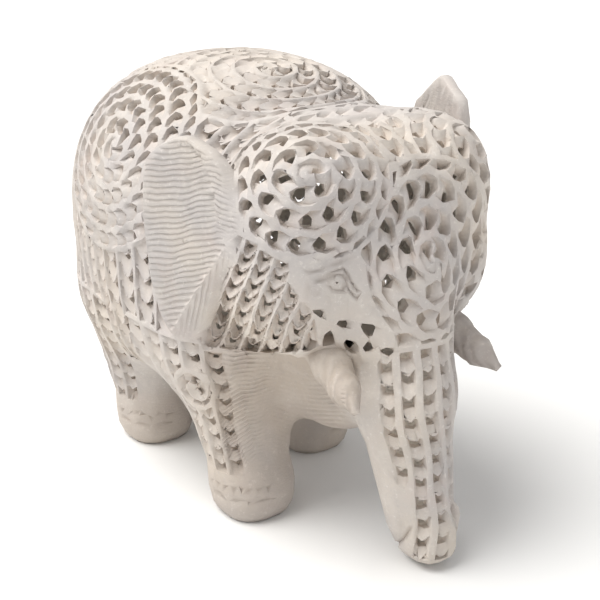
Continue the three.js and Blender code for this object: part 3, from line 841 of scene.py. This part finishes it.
import time
T0 = time.time()
P, Q = carve()
print("carved", round(time.time() - T0, 1), "s", len(P), "vertices")
P, Q = clean(P, Q)
P = P + SHIFT
ob = bpy.data.objects.new("elephant_carving", to_mesh("elephant_carving", P, Q))
bpy.context.scene.collection.objects.link(ob)
print("mesh", round(time.time() - T0, 1), "s")
E = P - SHIFT
w = -form(E)
keep = np.zeros(len(E))
toward = (E[:, 0] - 4) * math.sin(math.radians(LAY_A)) - (E[:, 1] + 2) * math.cos(math.radians(LAY_A))
seen = ((toward > -12) | ((E[:, 2] > 104) & (toward > -40))) & (w < 3.1) & (E[:, 2] > 12)
keep[seen] = 0.045
U, V = mirrored(E, 8.0)
plain = (E[:, 2] < 66) & (E[:, 1] < -33) & (U < 348) & (U > 232)
keep[plain] = 0.012
for side, k in ((-1, 0.07), (1, 0.02)):
    i = np.flatnonzero((E[:, 0] * side > 36) & (E[:, 1] < -19) & (E[:, 2] > 64))
    keep[i[np.abs(ears(E[i], side)[0]) < 1.4]] = k
i = np.flatnonzero((E[:, 1] < -60) | (E[:, 2] < 22))
i = i[w[i] < 1.4]
g = np.abs(engrave(E[i], w[i])) - 0.12
fine = np.where(toward[i] > -5, 0.7, 0.12)
keep[i[g > 0]] = fine[g > 0]
print("kept finer", [(float(v), int((keep == v).sum())) for v in np.unique(keep)])
decimated(ob, 196000, keep)
ob.vertex_groups.clear()
co = np.empty(len(ob.data.vertices) * 3, np.float32)
ob.data.vertices.foreach_get("co", co)
E = co.reshape(-1, 3) - SHIFT
print("decimated", round(time.time() - T0, 1), "s")
me = ob.data
me.validate()
co = np.empty(len(me.vertices) * 3, np.float32)
me.vertices.foreach_get("co", co)
co = co.reshape(-1, 3)
co[:, 2] = np.maximum(co[:, 2], 0.0)
me.vertices.foreach_set("co", (co / 1000).ravel())
me.update()
me.polygons.foreach_set("use_smooth", np.ones(len(me.polygons), bool))
me.set_sharp_from_angle(angle=math.radians(55))

# ---- how deep each vertex lies below the smooth form, for the painted light in the cuts and the hollow ----
co = co - SHIFT.astype(np.float32)
depth = np.clip(-form(co), 0, 6)
at = me.attributes.new("depth", "FLOAT", "POINT")
at.data.foreach_set("value", (depth / 6).astype(np.float32))
# ---- fine strokes: phase and strength of each set, for their bump and for the painted shade in their grooves ----
G = co.astype(np.float64)
X = np.stack([np.abs(G[:, 0]), G[:, 1], G[:, 2]], 1)
sets, dark = hatch(G)
ear_sets = np.zeros((3, 2, len(G)))
for side in (-1, 1):
    i = np.flatnonzero((G[:, 0] * side > 36) & (G[:, 1] < -17) & (G[:, 2] > 62))
    e, got = ears(G[i], side, lines=True)
    for q, (a, on) in enumerate(got):
        ear_sets[q, 0, i] = a
        ear_sets[q, 1, i] = on * sstep(2.2, 1.2, np.abs(e))
sets += [(a, on) for a, on in ear_sets]
tk = bar(X, TUSK, 3.0)
sets.append(((G[:, 1] * 0.93 - G[:, 2] * 0.30) / 2.9, sstep(2.4, 1.4, tk) * sstep(-76, -80, G[:, 1]) * 0.8))
# the same map also darkens the tusks and the low end of the trunk
dark = np.maximum(dark, 0.85 * sstep(2.4, 1.4, tk))
dark = np.maximum(dark, 0.75 * sstep(24, 15, G[:, 2]) * sstep(-62, -58, G[:, 1]))
# painted shade in the engraved cuts: eye lines, pupil, toe chips, toenail lines and mouth
cut_shade = np.zeros(len(G))
i = np.flatnonzero(((G[:, 1] < -60) | (G[:, 2] < 22)) & (depth < 2.2))
cut_shade[i] = np.clip((engrave(G[i], depth[i].astype(np.float64)) - 0.10) / 0.5, 0, 1)
for q, (a, on) in enumerate(sets + [(dark, None)]):
    for name, val in ((f"line{q}", a), (f"line{q}_on", on)) if on is not None else (("dark", a),):
        at = me.attributes.new(name, "FLOAT", "POINT")
        at.data.foreach_set("value", np.asarray(val, np.float32))
at = me.attributes.new("cut_shade", "FLOAT", "POINT")
at.data.foreach_set("value", cut_shade.astype(np.float32))
SETS = len(sets)
me.update()


# ==== materials ====
def nodes_of(mat):
    mat.use_nodes = True
    nt = mat.node_tree
    nt.nodes.clear()
    return nt, nt.nodes, nt.links


def stone():
    mat = bpy.data.materials.new("soapstone")
    nt, N, L = nodes_of(mat)
    out = N.new("ShaderNodeOutputMaterial")
    bs = N.new("ShaderNodeBsdfPrincipled")
    L.new(bs.outputs[0], out.inputs[0])
    bs.inputs["IOR"].default_value = 1.46
    bs.inputs["Specular IOR Level"].default_value = 0.42
    co = N.new("ShaderNodeTexCoord")

    def noise(scale, detail=4, rough=0.55, dist=0.0, src=None):
        n = N.new("ShaderNodeTexNoise")
        n.inputs["Scale"].default_value = scale
        n.inputs["Detail"].default_value = detail
        n.inputs["Roughness"].default_value = rough
        n.inputs["Distortion"].default_value = dist
        L.new(src or co.outputs["Object"], n.inputs["Vector"])
        return n.outputs["Fac"]

    def ramp(src, *stops):
        r = N.new("ShaderNodeValToRGB")
        e = r.color_ramp.elements
        while len(e) < len(stops):
            e.new(0.5)
        for k, (pos, c) in enumerate(stops):
            e[k].position = pos
            e[k].color = (c[0], c[1], c[2], 1) if isinstance(c, tuple) else (c, c, c, 1)
        L.new(src, r.inputs[0])
        return r.outputs[0]

    def mix(kind, fac, a, b):
        m = N.new("ShaderNodeMix")
        m.data_type = "RGBA"
        m.blend_type = kind
        for s, v in ((m.inputs[0], fac), (m.inputs[6], a), (m.inputs[7], b)):
            if isinstance(v, (int, float)):
                s.default_value = v
            elif isinstance(v, tuple):
                s.default_value = (*v, 1)
            else:
                L.new(v, s)
        return m.outputs[2]

    # ground tone: warm cream drifting to a cool, slightly pink grey
    warm, grey, pink, pale = (0.610, 0.548, 0.482), (0.505, 0.472, 0.455), (0.565, 0.492, 0.455), (0.680, 0.632, 0.580)
    big = ramp(noise(17, 3, 0.5, 0.6), (0.36, 0.0), (0.62, 1.0))
    c = mix("MIX", big, warm, grey)
    c = mix("MIX", ramp(noise(38, 4, 0.6, 1.2), (0.52, 0.0), (0.70, 0.55)), c, pink)
    c = mix("MIX", ramp(noise(95, 5, 0.65, 0.5), (0.50, 0.0), (0.74, 0.6)), c, pale)
    # soft mineral specks
    c = mix("MIX", ramp(noise(900, 3, 0.7), (0.56, 0.0), (0.70, 0.55)), c, grey)
    c = mix("MIX", ramp(noise(620, 3, 0.75), (0.58, 0.0), (0.72, 0.5)), c, (0.760, 0.720, 0.680))
    # depth: painted light in the cuts, warm and paler half way in, near white on the deep inner walls of the hollow
    at = N.new("ShaderNodeAttribute")
    at.attribute_name = "depth"
    c = mix("MIX", ramp(at.outputs["Fac"], (0.0, 0.0), (0.10, 0.0), (0.45, 0.60)), c, (0.760, 0.670, 0.590))
    c = mix("MIX", ramp(at.outputs["Fac"], (0.50, 0.0), (0.62, 0.9)), c, (0.930, 0.885, 0.825))
    # fine strokes: crest and groove of every set
    def attr(name):
        t = N.new("ShaderNodeAttribute")
        t.attribute_name = name
        return t.outputs["Fac"]

    def op(kind, a, b=None):
        m = N.new("ShaderNodeMath")
        m.operation = kind
        for s, v in zip(m.inputs, (a, b)):
            if v is None:
                continue
            if isinstance(v, (int, float)):
                s.default_value = v
            else:
                L.new(v, s)
        return m.outputs[0]
    jit = op("MULTIPLY", op("SUBTRACT", noise(260, 2, 0.5), 0.5), 0.35)
    patchy = ramp(noise(150, 3, 0.6), (0.36, 0.25), (0.60, 1.0))
    groove = None
    for q in range(SETS):
        wv = op("COSINE", op("MULTIPLY", op("ADD", attr(f"line{q}"), jit), TAU))
        sharp, deep = ((1.3, patchy), (1.3, patchy), (2.4, 0.72), (1.8, 0.7), (1.8, 0.8), (1.4, 0.8))[q]
        wv = op("MULTIPLY", op("POWER", op("ADD", op("MULTIPLY", wv, 0.5), 0.5), sharp), op("MULTIPLY", attr(f"line{q}_on"), deep))
        groove = wv if groove is None else op("MAXIMUM", groove, wv)
    # painted shade on the chest under the head; the tusks and the low end of the trunk are darker as well
    c = mix("MULTIPLY", op("MULTIPLY", attr("dark"), 0.85), c, (0.80, 0.765, 0.735))
    # painted shade in the grooves of the fine strokes
    c = mix("MULTIPLY", op("MULTIPLY", groove, 0.50), c, (0.70, 0.65, 0.61))
    # painted shade in the engraved cuts
    c = mix("MULTIPLY", op("MULTIPLY", attr("cut_shade"), 0.5), c, (0.60, 0.55, 0.51))
    L.new(c, bs.inputs["Base Color"])
    rg = ramp(noise(60, 4, 0.6), (0.3, 0.52), (0.7, 0.70))
    L.new(rg, bs.inputs["Roughness"])
    # tool marks and grain
    b1 = N.new("ShaderNodeBump"); b1.inputs["Strength"].default_value = 0.55; b1.inputs["Distance"].default_value = 0.00030
    mp = N.new("ShaderNodeMapping"); mp.inputs["Scale"].default_value = (420, 420, 1500); mp.inputs["Rotation"].default_value = (0.25, 0.35, 0)
    L.new(co.outputs["Object"], mp.inputs["Vector"])
    L.new(noise(1.0, 3, 0.6, 0.2, mp.outputs[0]), b1.inputs["Height"])
    b2 = N.new("ShaderNodeBump"); b2.inputs["Strength"].default_value = 0.45; b2.inputs["Distance"].default_value = 0.00016
    L.new(noise(1600, 3, 0.6), b2.inputs["Height"])
    b3 = N.new("ShaderNodeBump"); b3.inputs["Strength"].default_value = 0.9; b3.inputs["Distance"].default_value = 0.00055
    b3.invert = True
    L.new(groove, b3.inputs["Height"])
    L.new(b1.outputs[0], b3.inputs["Normal"])
    L.new(b3.outputs[0], b2.inputs["Normal"])
    L.new(b2.outputs[0], bs.inputs["Normal"])
    return mat


me.materials.clear()
me.materials.append(stone())
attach(ob, "root")
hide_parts("elephant")


# ==== floor, light, camera ====
def simple(name, color, rough):
    mat = bpy.data.materials.new(name)
    nt, N, L = nodes_of(mat)
    out = N.new("ShaderNodeOutputMaterial"); bs = N.new("ShaderNodeBsdfPrincipled")
    bs.inputs["Base Color"].default_value = (*color, 1)
    bs.inputs["Roughness"].default_value = rough
    bs.inputs["Specular IOR Level"].default_value = 0.2
    L.new(bs.outputs[0], out.inputs[0])
    return mat


fm = bpy.data.meshes.new("floor")
fm.from_pydata([(-6, -6, 0), (6, -6, 0), (6, 6, 0), (-6, 6, 0)], [], [(0, 1, 2, 3)])
floor = bpy.data.objects.new("floor", fm)
fm.materials.append(simple("pale_floor", (0.84, 0.84, 0.835), 0.8))
bpy.context.scene.collection.objects.link(floor)

world = bpy.data.worlds.new("studio")
bpy.context.scene.world = world
world.use_nodes = True
bg = world.node_tree.nodes["Background"]
bg.inputs[0].default_value = (1.0, 1.0, 1.0, 1)
bg.inputs[1].default_value = 0.56


def lamp(name, toward, strength, angle, color):
    ld = bpy.data.lights.new(name, "SUN")
    ld.energy = strength
    ld.angle = math.radians(angle)
    ld.color = color
    o = bpy.data.objects.new(name, ld)
    bpy.context.scene.collection.objects.link(o)
    o.rotation_mode = "QUATERNION"
    o.rotation_quaternion = Vector(toward).to_track_quat("-Z", "Y")
    return o


lamp("key", (0.46, -0.26, -1.0), 3.45, 48, (1.0, 0.985, 0.96))
lamp("fill", (-0.75, 0.75, -0.35), 0.12, 60, (0.97, 0.98, 1.0))

cam = bpy.data.cameras.new("camera")
co_ = bpy.data.objects.new("camera", cam)
bpy.context.scene.collection.objects.link(co_)
a, e = math.radians(LAY_A), math.radians(LAY_E)
backv = Vector((math.sin(a) * math.cos(e), -math.cos(a) * math.cos(e), math.sin(e)))
T = Vector((18.9e-3 + SHIFT[0] / 1000, SHIFT[1] / 1000, 55.9e-3))
co_.location = T + backv * 0.4627
co_.rotation_mode = "QUATERNION"
co_.rotation_quaternion = (-backv).to_track_quat("-Z", "Y")
cam.sensor_width = 36.0
cam.lens = 1281 / 600 * 36.0
cam.clip_start, cam.clip_end = 0.01, 50
bpy.context.scene.camera = co_
bpy.context.scene.view_settings.view_transform = "Standard"

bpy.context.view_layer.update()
print("done", round(time.time() - T0, 1), "s")
